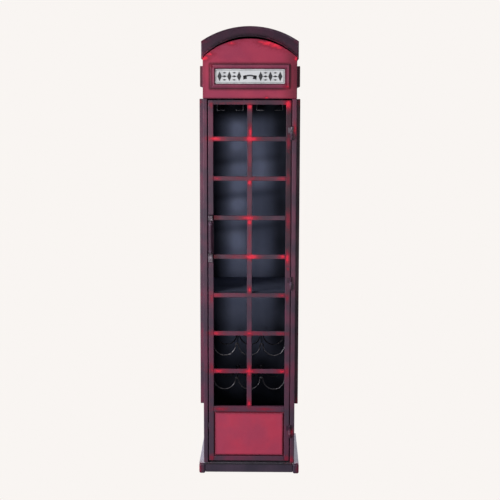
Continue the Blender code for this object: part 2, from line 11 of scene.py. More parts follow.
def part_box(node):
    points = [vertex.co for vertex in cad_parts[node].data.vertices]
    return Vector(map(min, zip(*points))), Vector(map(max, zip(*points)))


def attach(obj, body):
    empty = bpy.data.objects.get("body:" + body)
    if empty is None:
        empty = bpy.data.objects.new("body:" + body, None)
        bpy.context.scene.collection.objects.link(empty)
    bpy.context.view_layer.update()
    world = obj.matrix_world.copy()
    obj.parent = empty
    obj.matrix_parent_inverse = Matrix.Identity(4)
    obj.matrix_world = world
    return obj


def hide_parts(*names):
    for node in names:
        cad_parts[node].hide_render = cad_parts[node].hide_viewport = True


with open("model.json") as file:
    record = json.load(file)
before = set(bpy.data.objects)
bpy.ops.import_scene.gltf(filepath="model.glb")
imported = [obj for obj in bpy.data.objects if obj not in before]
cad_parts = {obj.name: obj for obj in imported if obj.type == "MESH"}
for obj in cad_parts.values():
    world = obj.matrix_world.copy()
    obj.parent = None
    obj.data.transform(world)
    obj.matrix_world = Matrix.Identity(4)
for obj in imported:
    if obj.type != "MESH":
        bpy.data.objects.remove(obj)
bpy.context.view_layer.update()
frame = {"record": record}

# The looks of a telephone-booth bottle cabinet: rubbed plum and red paint over sheet steel.
# Metres, +Z up, in the frame of the CAD model. The front faces -Y.

BODIES = frame["record"]["behaviour"]["bodies"]
BODY_OF = {node: body for body, nodes in BODIES.items() for node in nodes}

# Places read from the CAD model
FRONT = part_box("corner_post_front_left")[0].y
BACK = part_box("back_panel")[1].y
MIDDLE = (FRONT + BACK) / 2
BODY_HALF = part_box("corner_post_front_right")[1].x
DOOR_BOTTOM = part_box("door_stile_right")[0].z
DOOR_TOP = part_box("door_stile_right")[1].z
ROOF_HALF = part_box("roof_fascia_front")[1].x
EAVES_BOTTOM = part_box("roof_fascia_front")[0].z
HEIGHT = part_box("roof_fascia_front")[1].z
HEADER_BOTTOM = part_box("header_panel")[0].z
HEADER_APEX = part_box("header_panel")[1].z
BAR_COUNT = 7
HINGE_LEVELS = ("top", "middle", "bottom")
SIDES = ("left", "right")
ENDS = ("front", "rear")

# The CAD model's own dimensions
EAVES_TOP = 1.742
ARCH_APEX = 1.76
SIGN_BAR = 0.018
PLATE_DEPTH = 0.003
SIDE_BORDER = 0.02
SIDE_STEP = 0.005
CRADLE_RADIUS = 0.044
CREST_RADIUS = 0.006
CREST_OFFSET = CRADLE_RADIUS + CREST_RADIUS
WIRE_RADIUS = 0.0022
ROD_RADIUS = 0.0026
STEM_SLOT_HALF = 0.0215
SHEET = 0.0012
GRIP_RADIUS = 0.0082
TENON_RADIUS = 0.0035
KNUCKLE_RADIUS = 0.005
PIN_LENGTH = 0.014

# Camera, fitted to the viewing angle
CAMERA_PLACE = (0.0511, -4.341, 1.4863)
CAMERA_PITCH = 0.1344
CAMERA_YAW = 0.0118
CAMERA_ROLL = 0.0024
CAMERA_LENS = 75.74

BACKDROP = (249, 245, 242)


# ---- colours and places


def srgb(red, green, blue):
    """An 8-bit display colour as the linear colour that a shader takes."""
    linear = []
    for value in (red, green, blue):
        share = value / 255
        linear.append(share / 12.92 if share <= 0.04045 else ((share + 0.055) / 1.055) ** 2.4)
    return (*linear, 1.0)


def centre_of(node):
    low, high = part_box(node)
    return (low + high) / 2


def bar_level(number):
    """Middle height of a door bar; bar 1 is the top one."""
    return centre_of(f"door_bar_{number}").z


def arch(x, ends, apex):
    """Height of a circular arch that springs from the eaves' two ends, x metres from its middle."""
    rise = apex - ends
    radius = (ROOF_HALF**2 + rise**2) / (2 * rise)
    return apex - radius + math.sqrt(radius**2 - min(abs(x), ROOF_HALF) ** 2)


def evenly(start, end, steps):
    """Numbers from start to end in equal steps, both ends included."""
    return [start + (end - start) * step / steps for step in range(steps + 1)]


def ease(value, low, high):
    """0 up to low, 1 from high, and a smooth rise between them."""
    share = min(max((value - low) / (high - low), 0.0), 1.0)
    return share * share * (3 - 2 * share)


# ---- wear


def front_wear():
    """Rubbed places on the front as (x, z, half width, half height, strength)."""
    bar = {number: bar_level(number) for number in range(1, BAR_COUNT + 1)}
    # By the level that they are measured from: x, height above it, half width, half height, strength
    rubs = {
        0.0: ((0.154, 0.85, 0.005, 0.006, 0.8), (0.173, 0.058, 0.007, 0.014, 0.62)),
        DOOR_BOTTOM: ((-0.153, 0.012, 0.01, 0.016, 0.52), (0.153, 0.01, 0.01, 0.014, 0.55)),
        centre_of("door_rail_middle").z: (
            (-0.115, 0, 0.034, 0.01, 0.58), (0, 0.022, 0.01, 0.016, 0.8), (0.06, 0, 0.04, 0.007, 0.5),
        ),
        bar[7]: (
            (-0.124, 0, 0.038, 0.013, 0.72), (0, 0, 0.03, 0.013, 0.78), (0, 0, 0.011, 0.03, 0.78),
            (0.132, 0, 0.024, 0.012, 0.72), (-0.152, 0.01, 0.008, 0.022, 0.55),
            (0.152, 0, 0.008, 0.022, 0.6), (0, 0.001, 0.14, 0.006, 0.26),
        ),
        bar[6]: (
            (-0.132, 0, 0.03, 0.012, 0.66), (0, 0, 0.022, 0.011, 0.7), (0.01, 0, 0.06, 0.008, 0.45),
            (0.13, 0, 0.03, 0.008, 0.5),
        ),
        bar[5]: (
            (-0.13, 0, 0.024, 0.009, 0.6), (0.13, 0, 0.02, 0.009, 0.6), (0, 0.022, 0.008, 0.014, 0.85),
            (-0.152, -0.01, 0.008, 0.022, 0.55), (0.152, -0.01, 0.008, 0.02, 0.5),
            (0, 0.001, 0.15, 0.006, 0.26),
        ),
        bar[4]: (
            (0.008, 0, 0.026, 0.011, 1.1), (0.132, 0.001, 0.018, 0.01, 0.85), (-0.14, 0, 0.016, 0.008, 0.6),
            (0.151, -0.006, 0.009, 0.024, 0.95), (-0.06, 0, 0.05, 0.008, 0.35),
        ),
        (bar[2] + bar[4]) / 2: ((0, 0, 0.008, 0.16, 0.22),),
        bar[3]: (
            (-0.136, 0, 0.02, 0.009, 0.62), (-0.004, 0, 0.032, 0.01, 0.9), (0, -0.018, 0.009, 0.011, 1.1),
            (0, -0.08, 0.007, 0.055, 0.42), (0.153, -0.01, 0.009, 0.036, 0.55),
        ),
        bar[2]: (
            (0, -0.016, 0.009, 0.011, 1.0), (-0.13, 0, 0.022, 0.008, 0.6), (0.128, 0, 0.022, 0.008, 0.6),
            (0.01, 0, 0.02, 0.008, 0.45), (0.152, 0, 0.008, 0.03, 0.45), (0, 0.001, 0.17, 0.006, 0.24),
        ),
        (bar[1] + bar[2]) / 2: ((0, 0, 0.008, 0.08, 0.24),),
        bar[1]: (
            (0.002, 0.026, 0.008, 0.026, 0.9), (0, 0, 0.016, 0.014, 1.1), (0.014, 0, 0.022, 0.01, 0.95),
            (-0.135, 0, 0.03, 0.009, 0.95), (0, -0.075, 0.007, 0.055, 0.42),
            (0.152, -0.015, 0.008, 0.03, 0.5), (0, 0.001, 0.15, 0.006, 0.22),
        ),
        DOOR_TOP: (
            (0.15, -0.016, 0.014, 0.02, 1.0), (0, -0.026, 0.01, 0.012, 1.0),
            (-0.07, -0.012, 0.09, 0.006, 0.3), (-0.152, -0.02, 0.008, 0.012, 0.55),
        ),
        HEADER_BOTTOM: ((0.066, 0.003, 0.009, 0.005, 0.9),),
        centre_of("hinge_door_half_top").z: ((0.177, 0, 0.007, 0.024, 0.9),),
        centre_of("hinge_door_half_bottom").z: ((0.171, -0.02, 0.008, 0.013, 1.0),),
    }
    spots = [(x, level + rise, *rest) for level, rows in rubs.items() for x, rise, *rest in rows]
    # Below the header's arch: x, half width, half height, strength
    arch_rubs = (
        (-0.178, 0.02, 0.011, 0.95), (-0.158, 0.024, 0.01, 0.75), (-0.125, 0.04, 0.007, 0.36),
        (-0.071, 0.026, 0.01, 0.72), (-0.03, 0.05, 0.006, 0.34), (0.044, 0.028, 0.009, 0.72),
        (0.07, 0.03, 0.012, 0.92), (0.096, 0.026, 0.012, 0.9), (0.116, 0.022, 0.011, 0.74),
        (0.145, 0.04, 0.008, 0.36), (0.181, 0.012, 0.013, 0.85),
    )
    spots += [(x, arch(x, EAVES_BOTTOM, HEADER_APEX) - 0.009, *rest) for x, *rest in arch_rubs]
    frame_low, frame_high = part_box("sign_frame_front")
    spots.append((frame_high.x - 0.008, frame_low.z + 0.008, 0.014, 0.01, 0.9))
    spots.append((frame_low.x + 0.006, frame_high.z - 0.006, 0.01, 0.008, 0.6))
    return spots


def side_wear():
    """Rubbed places at the side lattices' joints, as (centre, radii, strength)."""
    draw = random.Random(7)
    spots = []
    for side in SIDES:
        low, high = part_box(f"side_lattice_{side}")
        face = low.x if side == "left" else high.x
        for number in range(1, BAR_COUNT + 1):
            for y in (low.y + 0.012, MIDDLE, high.y - 0.012):
                strength = draw.uniform(0.1, 0.85) * (0.5 if y < FRONT + 0.05 else 1.0)
                shift = draw.uniform(-0.012, 0.012)
                radii = (0.012, draw.uniform(0.012, 0.026), draw.uniform(0.009, 0.018))
                spots.append(((face, y, bar_level(number) + shift), radii, strength))
        for z in (low.z + 0.01, high.z - 0.01):
            for y in (low.y + 0.01, high.y - 0.01):
                spots.append(((face, y, z), (0.012, 0.02, 0.02), draw.uniform(0.25, 0.65)))
    foot_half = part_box("base_foot_front_right")[1].x
    for x in (-foot_half, foot_half):
        for y in (FRONT + 0.004, BACK - 0.004):
            spots.append(((x, y, 0.018), (0.012, 0.02, 0.03), 0.75))
    for x in (-ROOF_HALF, ROOF_HALF):
        for y in (FRONT + 0.02, MIDDLE - 0.06, BACK - 0.03):
            spots.append(((x, y, EAVES_TOP), (0.02, draw.uniform(0.02, 0.05), 0.008), 0.75))
    return spots


WEAR = [((x, FRONT, z), (wide, 0.014, tall), strength) for x, z, wide, tall, strength in front_wear()]
WEAR += side_wear()


def paint_wear(mesh):
    """Stores how rubbed ("wear") and how close to an edge ("edge") each vertex is."""
    places = np.array([vertex.co for vertex in mesh.vertices])
    worn = np.zeros(len(places))
    for centre, radii, strength in WEAR:
        distance = np.sqrt((((places - centre) / radii) ** 2).sum(1))
        worn = np.maximum(worn, strength * np.exp(-0.9 * distance**1.3))
    store(mesh, "wear", worn)
    store(mesh, "edge", edge_share(mesh))


def edge_share(mesh):
    """1 at vertices where the faces turn sharply, 0 where they are flat."""
    lowest = np.ones(len(mesh.vertices))
    normals = np.array([vertex.vector for vertex in mesh.vertex_normals])
    for face in mesh.polygons:
        corners = list(face.vertices)
        np.minimum.at(lowest, corners, normals[corners] @ np.array(face.normal))
    return np.clip((1 - lowest) / 0.04, 0, 1)


def store(mesh, name, values):
    attribute = mesh.attributes.new(name, "FLOAT", "POINT")
    attribute.data.foreach_set("value", np.asarray(values, np.float32))


# ---- shapes


def axis_stops(low, high, bevel, cell, arc_steps):
    """Where one side of a block is cut: finely round its edges, and evenly between them."""
    shares = evenly(0, 1, arc_steps)[:-1]
    round_edge = [bevel * (1 - math.tan(math.pi / 4 * (1 - share))) for share in shares]
    start, end = low + bevel, high - bevel
    margin = min(0.0004, (end - start) / 4)
    inner = max(1, round((end - start - 2 * margin) / cell))
    between = evenly(start + margin, end - margin, inner)
    stops = [low + offset for offset in round_edge] + [start, *between, end]
    return stops + [high - offset for offset in reversed(round_edge)]


def round_off(point, low, high, bevel):
    """Moves a point of a block's surface onto its rounded edges and corners."""
    core = Vector([min(max(point[i], low[i] + bevel), high[i] - bevel) for i in range(3)])
    offset = Vector(point) - core
    return core + offset.normalized() * bevel if offset.length > 1e-9 else Vector(point)


def block(low, high, bevel=0.001, cell=0.006, arc_steps=2, warp=None):
    """Points and faces of a rounded block, gridded finely enough to be bent by warp(point)."""
    bevel = min(bevel, 0.45 * min(high[i] - low[i] for i in range(3)))
    stops = [axis_stops(low[i], high[i], bevel, cell, arc_steps) for i in range(3)]
    last = [len(line) - 1 for line in stops]
    points, faces, index = [], [], {}

    def corner(key):
        if key not in index:
            index[key] = len(points)
            place = round_off([stops[i][key[i]] for i in range(3)], low, high, bevel)
            points.append(warp(place) if warp else place)
        return index[key]

    for axis in range(3):
        a, b = (axis + 1) % 3, (axis + 2) % 3
        for end in (0, last[axis]):
            for s in range(last[a]):
                for t in range(last[b]):
                    quad = []
                    for ds, dt in ((0, 0), (1, 0), (1, 1), (0, 1)):
                        key = {axis: end, a: s + ds, b: t + dt}
                        quad.append(corner((key[0], key[1], key[2])))
                    faces.append(quad if end else quad[::-1])
    return points, faces


def lump(centre, radii, seed):
    """Points and faces of a small uneven bead of weld."""
    shape = bmesh.new()
    bmesh.ops.create_icosphere(shape, subdivisions=2, radius=1.0)
    points = []
    for vertex in shape.verts:
        push = 1 + 0.25 * noise.noise(vertex.co * 1.7 + Vector((seed, 0, 0)))
        points.append(Vector([centre[i] + radii[i] * vertex.co[i] * push for i in range(3)]))
    faces = [[vertex.index for vertex in face.verts] for face in shape.faces]
    shape.free()
    return points, faces


def joined(*shapes):
    """One list of points and faces out of several."""
    points, faces = [], []
    for more_points, more_faces in shapes:
        start = len(points)
        points += more_points
        faces += [[start + corner for corner in face] for face in more_faces]
    return points, faces


def bands(rings, sides):
    """Faces of a skin over rings of points, each with the same number of sides, and of its two ends."""
    faces = []
    for ring in range(rings - 1):
        for step in range(sides):
            following = (step + 1) % sides
            near, far = ring * sides, (ring + 1) * sides
            faces.append([near + step, near + following, far + following, far + step])
    faces.append(list(range(sides))[::-1])
    faces.append([(rings - 1) * sides + step for step in range(sides)])
    return faces


def turned(profile, centre, steps=40):
    """A piece turned about a vertical axis; its profile of (radius, z) runs from bottom to top."""
    points = []
    for radius, z in profile:
        for angle in evenly(0, 2 * math.pi, steps)[:-1]:
            points.append(Vector(centre) + Vector((radius * math.cos(angle), radius * math.sin(angle), z)))
    return points, bands(len(profile), steps)


def heading(line, number):
    """Which way a line of points runs at one of them."""
    return (line[min(number + 1, len(line) - 1)] - line[max(number - 1, 0)]).normalized()


def tube_along(path, radius, sides=14):
    """A round wire along a line of points that stays in one plane, with closed ends."""
    points = []
    path = [Vector(point) for point in path]
    for number, here in enumerate(path):
        along = heading(path, number)
        side = Vector((0, 1, 0)) if abs(along.y) < 0.9 else Vector((1, 0, 0))
        up = side.cross(along).normalized()
        for angle in evenly(0, 2 * math.pi, sides)[:-1]:
            points.append(here + radius * (math.cos(angle) * side + math.sin(angle) * up))
    return points, [face[::-1] for face in bands(len(path), sides)]


def rounded_line(points, radius, steps=5):
    """A line of (x, z) points with its corners rounded."""
    line = [Vector(points[0])]
    for before, here, after in zip(points, points[1:], points[2:]):
        before, here, after = Vector(before), Vector(here), Vector(after)
        start = here + (before - here).normalized() * radius
        end = here + (after - here).normalized() * radius
        for share in evenly(0, 1, steps):
            line.append(start * (1 - share) ** 2 + here * 2 * share * (1 - share) + end * share**2)
    line.append(Vector(points[-1]))
    return line


def bent_sheet(line, y, thickness, rows):
    """A closed sheet that follows a line of (x, z) points and runs between two y planes.

    The line runs with the sheet's thickness on its right.
    """
    behind = []
    for number, here in enumerate(line):
        along = heading(line, number)
        behind.append(here + Vector((along.y, -along.x)) * thickness)
    ring = line + behind[::-1]
    points = [Vector((place.x, depth, place.y)) for depth in evenly(*y, rows) for place in ring]
    faces = bands(rows + 1, len(ring))[:-2]
    for start, flip in ((0, False), (rows * len(ring), True)):
        for step in range(len(line) - 1):
            near, far = start + step, start + len(ring) - 1 - step
            strip = [near, far, far - 1, near + 1]
            faces.append(strip[::-1] if flip else strip)
    return points, faces


def make_mesh(name, shape):
    points, faces = shape
    mesh = bpy.data.meshes.new(name)
    mesh.from_pydata([tuple(point) for point in points], [], faces)
    tidy = bmesh.new()
    tidy.from_mesh(mesh)
    bmesh.ops.recalc_face_normals(tidy, faces=tidy.faces)
    tidy.to_mesh(mesh)
    tidy.free()
    mesh.shade_smooth()
    mesh.set_sharp_from_angle(angle=math.radians(50))
    return mesh


def added(name, data):
    """A new object in the scene."""
    obj = bpy.data.objects.new(name, data)
    bpy.context.scene.collection.objects.link(obj)
    return obj


def piece(name, shape, look, body, glaze_and_shade=None):
    """Adds a piece that rides on a body. The optional darkening function, 0 to 1, gives where dark glazing
    has gathered and where shade is painted.
    """
    mesh = make_mesh(name, shape)
    for material in look if isinstance(look, tuple) else (look,):
        mesh.materials.append(material)
    paint_wear(mesh)
    if glaze_and_shade:
        store(mesh, "glaze_and_shade", [glaze_and_shade(vertex.co) for vertex in mesh.vertices])
    obj = added(name, mesh)
    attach(obj, body)
    return obj


def dressed(node, shape, look, glaze_and_shade=None):
    """Adds the piece that stands for a CAD node."""
    obj = piece(f"{node}_finished", shape, look, BODY_OF[node], glaze_and_shade)
    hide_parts(node)
    return obj


def unevenness(point, size, scale, seed=0.0):
    """A small height that varies smoothly over a sheet."""
    return size * noise.noise(Vector(point) * scale + Vector((seed, seed, seed)))


# ---- materials


class Looks:
    """The nodes of a material or a world. An input may be a number, a colour or another node's output."""

    def __init__(self, owner, place="Object"):
        self.owner = owner
        owner.use_nodes = True
        self.tree = owner.node_tree
        self.place = self.node("TexCoord").outputs[place]

    def node(self, kind, **inputs):
        node = self.tree.nodes.new(f"ShaderNode{kind}")
        self.feed(node, **inputs)
        return node

    def feed(self, node, **inputs):
        for name, value in inputs.items():
            self.plug(node.inputs[name.replace("_", " ")], value)

    def plug(self, socket, value):
        if isinstance(value, bpy.types.NodeSocket):
            self.tree.links.new(value, socket)
        else:
            socket.default_value = value

    def shader(self, **inputs):
        self.feed(self.tree.nodes["Principled BSDF"], **inputs)

    def attribute(self, name):
        node = self.node("Attribute")
        node.attribute_name = name
        return node.outputs["Fac"]

    def stretched(self, *scale):
        return self.node("Mapping", Scale=scale, Vector=self.place).outputs[0]

    def noise(self, scale, detail=3.0, roughness=0.55, place=None, distortion=0.0):
        node = self.node("TexNoise", Scale=scale, Detail=detail, Roughness=roughness)
        self.feed(node, Distortion=distortion, Vector=place or self.place)
        return node.outputs["Fac"]

    def math(self, operation, first, second):
        node = self.node("Math")
        node.operation = operation
        self.plug(node.inputs[0], first)
        self.plug(node.inputs[1], second)
        return node.outputs[0]

    def span(self, value, low, high, start=0.0, end=1.0):
        """value, eased from start at low to end at high."""
        node = self.node("MapRange", Value=value, From_Min=low, From_Max=high, To_Min=start, To_Max=end)
        node.interpolation_type = "SMOOTHSTEP"
        return node.outputs["Result"]

    def mix(self, share, first, second):
        node = self.node("Mix")
        node.data_type = "RGBA"
        for number, value in ((0, share), (6, first), (7, second)):
            self.plug(node.inputs[number], value)
        return node.outputs[2]

    def over(self, colour, layer, value, low, high, most=1.0):
        """colour, covered by a layer up to most as value rises from low to high."""
        return self.mix(self.span(value, low, high, 0.0, most), colour, srgb(*layer))

    def bump(self, height, strength, distance, **below):
        """A normal bent by height; Normal=another normal says what it is bent from."""
        return self.node("Bump", Height=height, Strength=strength, Distance=distance, **below).outputs[0]


def aged_paint(name, top, deep, edge, rub, roughness, streaked=0.3, coat=0.05):
    """Glazed paint, streaked and mottled, rubbed through to the red coat where it is worn, darkened by
    glazing and painted shade, with a painted highlight along its edges.
    """
    looks = Looks(bpy.data.materials.new(name))
    cloud = looks.noise(9, 4)
    streaks = looks.noise(1.0, 4, 0.6, looks.stretched(120, 120, 10))
    blotch = looks.noise(170, 4, 0.62, distortion=0.5)
    fine = looks.noise(1300, 2)
    colour = looks.over(srgb(*top), deep, cloud, 0.34, 0.66)
    colour = looks.over(colour, deep, streaks, 0.35, 0.7, streaked)
    # Dark glazing and painted shade, where the piece's darkening attribute is high.
    glaze_and_shade = looks.math("MULTIPLY", looks.attribute("glaze_and_shade"), looks.span(blotch, 0.2, 0.6, 0.7, 1.0))
    dark = [int(0.42 * value) for value in deep]
    colour = looks.mix(glaze_and_shade, colour, srgb(*dark))
    # Painted highlight: the pale edge colour is speckled finely over the face and laid along rounded edges,
    # where the paint is also worn smooth.
    colour = looks.over(colour, edge, fine, 0.58, 0.74, 0.22)
    grain = looks.math("SUBTRACT", blotch, 0.5)
    edge_highlight_mask = looks.math("ADD", looks.math("MULTIPLY", looks.attribute("edge"), 0.6), grain)
    colour = looks.over(colour, edge, edge_highlight_mask, 0.42, 0.8, 0.6)
    worn = looks.math("ADD", looks.attribute("wear"), looks.math("MULTIPLY", grain, 0.7))
    crimson = [int(0.6 * rub[0]), int(0.72 * rub[1]), int(0.8 * rub[2])]
    colour = looks.over(colour, crimson, worn, 0.06, 0.46, 0.8)
    bright = looks.span(worn, 0.42, 0.82)
    colour = looks.mix(bright, colour, srgb(*rub))
    rough = looks.span(cloud, 0.3, 0.7, roughness - 0.06, roughness + 0.08)
    rough = looks.math("ADD", rough, looks.math("MULTIPLY", bright, 0.08))
    normal = looks.bump(looks.noise(420, 3, 0.5), 0.12, 0.0006)
    normal = looks.bump(streaks, 0.04, 0.0004, Normal=normal)
    normal = looks.bump(looks.math("SUBTRACT", 1.0, bright), 0.25, 0.0003, Normal=normal)
    looks.shader(Base_Color=colour, Roughness=rough, Normal=normal)
    clean_and_lit = looks.math("SUBTRACT", 1.0, looks.attribute("glaze_and_shade"))
    coat = looks.math("MULTIPLY", clean_and_lit, coat)
    looks.shader(Specular_IOR_Level=0.18, Coat_Weight=coat, Coat_Roughness=0.2)
    return looks.owner


def sheet_paint(name, top, deep, roughness, shine=0.16):
    """Dull paint inside the cabinet, dusty and slightly cloudy, darkened where the piece carries painted
    shade.
    """
    looks = Looks(bpy.data.materials.new(name))
    cloud = looks.noise(5, 5)
    streaks = looks.noise(1.0, 4, 0.6, looks.stretched(60, 60, 6))
    dust = looks.noise(700, 3, 0.7)
    colour = looks.over(srgb(*top), deep, cloud, 0.3, 0.7)
    colour = looks.over(colour, deep, streaks, 0.4, 0.75, 0.3)
    colour = looks.over(colour, DUST, dust, 0.58, 0.75, 0.1)
    # The dark colour of the painted shade.
    painted_shade = [int(0.12 * value) for value in deep]
    colour = looks.mix(looks.attribute("glaze_and_shade"), colour, srgb(*painted_shade))
    normal = looks.bump(looks.noise(300, 3), 0.12, 0.0005)
    rough = looks.span(cloud, 0.3, 0.7, roughness - 0.08, roughness + 0.08)
    rough = looks.math("ADD", rough, looks.math("MULTIPLY", looks.attribute("glaze_and_shade"), 0.4))
    looks.shader(Base_Color=colour, Roughness=rough, Normal=normal)
    looks.shader(Specular_IOR_Level=shine, Specular_Tint=srgb(204, 216, 255))
    return looks.owner


def worn_metal(name, bright, dull, roughness, metallic):
    """Bare metal, tarnished in patches and scratched."""
    looks = Looks(bpy.data.materials.new(name))
    patches = looks.noise(45, 5, 0.6)
    scratches = looks.noise(1.0, 3, 0.6, looks.stretched(700, 700, 40))
    colour = looks.over(srgb(*bright), dull, patches, 0.35, 0.7)
    colour = looks.over(colour, bright, scratches, 0.55, 0.75, 0.35)
    # Darkened by painted shade where the piece says so.
    colour = looks.mix(looks.attribute("glaze_and_shade"), colour, srgb(*GREASE_AND_SHADE))
    rough = looks.span(patches, 0.3, 0.7, roughness - 0.1, roughness + 0.15)
    normal = looks.bump(scratches, 0.12, 0.0003)
    normal = looks.bump(looks.noise(500, 3), 0.1, 0.0004, Normal=normal)
    looks.shader(Base_Color=colour, Roughness=rough, Normal=normal, Metallic=metallic)
    return looks.owner


def enamel(name, top, stain, roughness):
    """Printed sign enamel, yellowed and scuffed in places."""
    looks = Looks(bpy.data.materials.new(name))
    cloud = looks.noise(22, 5, 0.6)
    specks = looks.noise(520, 3, 0.7)
    # Stain and painted shade towards the rim, where the piece says so.
    edge = looks.math("ADD", looks.math("MULTIPLY", looks.attribute("glaze_and_shade"), 0.55), cloud)
    colour = looks.over(srgb(*top), stain, cloud, 0.42, 0.75, 0.5)
    colour = looks.over(colour, stain, specks, 0.62, 0.74, 0.5)
    colour = looks.over(colour, stain, edge, 0.85, 1.15, 0.6)
    normal = looks.bump(looks.noise(240, 3), 0.1, 0.0004)
    rough = looks.span(cloud, 0.3, 0.7, roughness - 0.06, roughness + 0.1)
    looks.shader(Base_Color=colour, Roughness=rough, Normal=normal)
    looks.shader(Coat_Weight=0.2, Coat_Roughness=0.15)
    return looks.owner


RED_RUB = (232, 36, 66)
GREASE_AND_SHADE = (20, 19, 23)
DUST = (120, 124, 138)
# The third colour of each aged paint is a painted highlight along its edges.
PLUM = aged_paint("plum_glaze", (106, 52, 75), (70, 54, 70), (140, 120, 138), RED_RUB, 0.42)
RED = aged_paint("red_glaze", (172, 56, 84), (154, 52, 82), (192, 114, 138), (240, 46, 74), 0.42, 0.12)
# A lighter copy of the red paint, painted light for the kick panel.
KICK_LIT_RED = aged_paint("kick_red_painted_light", (188, 62, 88), (172, 62, 90), (200, 120, 144), (240, 46, 74), 0.42, 0.12)
DARK = aged_paint("dark_glaze", (68, 35, 54), (50, 31, 47), (150, 134, 156), (176, 44, 70), 0.4)
BASE = aged_paint("base_glaze", (72, 60, 76), (56, 50, 64), (140, 128, 146), (176, 44, 70), 0.4)
FRAME = aged_paint("sign_frame_glaze", (142, 58, 84), (118, 52, 76), (160, 116, 138), RED_RUB, 0.42)
# A pale copy of the paint, a painted reflection of the bright surround on the deck's ledges.
LEDGE_REFLECTION = aged_paint("ledge_painted_reflection", (190, 180, 198), (166, 156, 174), (204, 196, 208), RED_RUB, 0.22, 0.2, 1)
WALLS = sheet_paint("wall_paint", (58, 62, 80), (46, 50, 66), 0.5)
# A much lighter copy of the inner paint, painted light that the painted shade darkens back in most places.
INSIDE_LIT = sheet_paint("inner_paint", (174, 184, 220), (154, 164, 200), 0.44, 0.45)
SHELF_PAINT = sheet_paint("shelf_paint", (114, 120, 144), (94, 100, 122), 0.5)
WIRE = worn_metal("rack_wire_metal", (104, 102, 108), (40, 38, 43), 0.3, 0.9)
STEEL = worn_metal("hardware_metal", (138, 126, 136), (74, 62, 72), 0.36, 0.85)
HANDLE_METAL = worn_metal("handle_metal", (104, 92, 102), (48, 40, 48), 0.36, 0.6)
ENAMEL = enamel("sign_enamel_face", (216, 218, 222), (146, 149, 158), 0.38)
INK = enamel("sign_print", (30, 30, 38), (64, 66, 76), 0.42)


# ---- plinth


def right_shade(point):
    """Painted shade on the front's right side, above the middle, and along its outer edge."""
    upper = ease(point.x, 0.1, 0.14) * ease(point.z, 0.75, 1.05)
    near_front = 1 - ease(point.y, FRONT + 0.02, FRONT + 0.05)
    return near_front * max(0.75 * upper, 0.65 * ease(point.x, 0.178, 0.188))


def upper_shade(point):
    """Painted shade, darker towards the top of the door."""
    return 0.34 * ease(point.z, 0.95, 1.25)


def plain_member(node, look, bevel, cell=0.006, dent=0.0, glaze_and_shade=None):
    """The CAD node's own box, with rounded edges and a slightly uneven surface."""
    low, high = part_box(node)

    def uneven(point):
        return point + Vector((unevenness(point, dent, 16), unevenness(point, dent, 16, 5.0), 0))

    shape = block(low, high, bevel, cell, 2, uneven if dent else None)
    dressed(node, shape, look, glaze_and_shade)


def plinth():
    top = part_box("base_beam_front")[1].z

    def below_door(point):
        """Dark along the upper edge, where the door hides it from the light."""
        under = 1 - ease(abs(point.x), BODY_HALF - 0.01, BODY_HALF)
        return 0.95 * under * ease(point.z, top - 0.006, top - 0.001)

    for side in ("front", "left", "rear", "right"):
        plain_member(f"base_beam_{side}", BASE, 0.0025, 0.005, glaze_and_shade=below_door)
    for end in ENDS:
        for side in SIDES:
            plain_member(f"base_foot_{end}_{side}", BASE, 0.007, 0.003)

    def under_body(point):
        """Painted shade below the body; beside it the deck keeps its pale painted reflection."""
        return 0.97 * (1 - ease(abs(point.x), BODY_HALF - 0.004, BODY_HALF + 0.002))

    plain_member("base_deck", LEDGE_REFLECTION, 0.0012, 0.005, glaze_and_shade=under_body)


# ---- body


def posts():
    for end in ENDS:
        for side in SIDES:
            plain_member(f"corner_post_{end}_{side}", PLUM, 0.0028, 0.005, 0.0002)


def side_panels():
    for side in SIDES:
        node = f"side_panel_{side}"
        low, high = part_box(node)
        inward = 1 if side == "left" else -1

        def pressed(point):
            away = unevenness((0, point.y, point.z), 0.0007, 7, 3.0)
            return point + Vector((inward * abs(away), 0, 0))

        obj = dressed(node, block(low, high, 0.0004, 0.012, 1, pressed), (PLUM, WALLS))
        for face in obj.data.polygons:
            face.material_index = int(face.normal.x * inward > 0.5)


def arched_block(node, apex, bevel, cell, bulge):
    """A flat panel whose top follows an arch that springs from the eaves."""
    low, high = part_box(node)

    def warp(point):
        share = (point.z - low.z) / (high.z - low.z)
        top = arch(point.x, EAVES_BOTTOM, apex)
        z = low.z + share * (top - low.z)
        return Vector((point.x, point.y + bulge(point.x, point.y, z), z))

    return block(low, high, bevel, cell, 2, warp)


def header():
    low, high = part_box("header_panel")

    def bulge(x, y, z):
        return abs(unevenness((x, 0, z), 0.0008, 11, 2.0)) * ease(high.y - y, 0, 0.008)

    frame_low, frame_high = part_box("sign_frame_front")

    def glaze_and_shade(point):
        """Painted shade: darker towards the right side, round the raised sign and along the lower edge."""
        sides = (1 - ease(high.x - point.x, 0.0, 0.075)) * 0.7
        sides = max(sides, (1 - ease(point.x - low.x, 0.0, 0.02)) * 0.35)
        rim = 1 - ease(arch(point.x, EAVES_BOTTOM, HEADER_APEX) - point.z, 0.0, 0.012)
        beside = max(frame_low.x - point.x, point.x - frame_high.x, 0.0)
        above = max(frame_low.z - point.z, point.z - frame_high.z, 0.0)
        frame_share = 1 - ease(math.hypot(beside, above), 0.001, 0.012)
        foot = (1 - ease(point.z - low.z, 0.0, 0.008)) * 0.6
        return max(sides, 0.35 * rim, 0.9 * frame_share, foot)

    shape = arched_block("header_panel", HEADER_APEX, 0.0022, 0.004, bulge)
    dressed("header_panel", shape, RED, glaze_and_shade)


